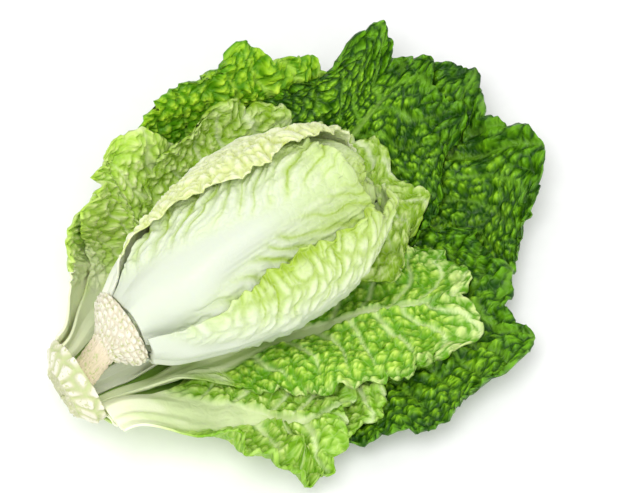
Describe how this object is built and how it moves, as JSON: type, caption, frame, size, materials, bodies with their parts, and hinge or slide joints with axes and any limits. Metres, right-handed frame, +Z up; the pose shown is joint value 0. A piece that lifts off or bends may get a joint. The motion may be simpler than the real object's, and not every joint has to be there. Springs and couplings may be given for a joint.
{
  "type": "napa cabbage",
  "caption": "Napa cabbage lying on a surface: a closed pale inner head on a short cut stem, with separate outer leaves splayed open beneath and around it.",
  "frame": {"origin": "on the surface that the cabbage lies on, below the middle of the object's box", "axes": "+X from the cut end of the stem towards the head's tip, +Z up away from the surface, +Y towards the side where the outer leaves stand highest"},
  "size_m": [0.3947, 0.2956, 0.1693],
  "materials": {
    "stem_cream": "matt, slightly moist cut plant flesh",
    "pale_leaf": "satin, smooth white midribs and pale yellow-green blades",
    "light_green_leaf": "satin, blistered light green blades with pale veins",
    "dark_green_leaf": "satin, crinkled dark green blades"
  },
  "bodies": {
    "root": {"stem": "stem_cream", "heart": "pale_leaf", "head_leaf_inner_back": "pale_leaf", "head_leaf_inner_under": "pale_leaf", "head_leaf_inner_front": "pale_leaf", "head_leaf_under": "pale_leaf", "head_leaf_front": "pale_leaf", "head_leaf_side": "pale_leaf", "head_leaf_cap": "pale_leaf", "middle_leaf_back": "pale_leaf", "middle_leaf_end": "pale_leaf", "outer_leaf_far": "dark_green_leaf", "outer_leaf_far_low": "dark_green_leaf", "outer_leaf_far_top": "dark_green_leaf", "outer_leaf_back": "light_green_leaf", "outer_leaf_left": "light_green_leaf", "outer_leaf_bottom": "light_green_leaf", "outer_leaf_top_left": "light_green_leaf", "outer_leaf_bottom_left": "light_green_leaf", "outer_leaf_right_low": "light_green_leaf"}
  },
  "joints": []
}
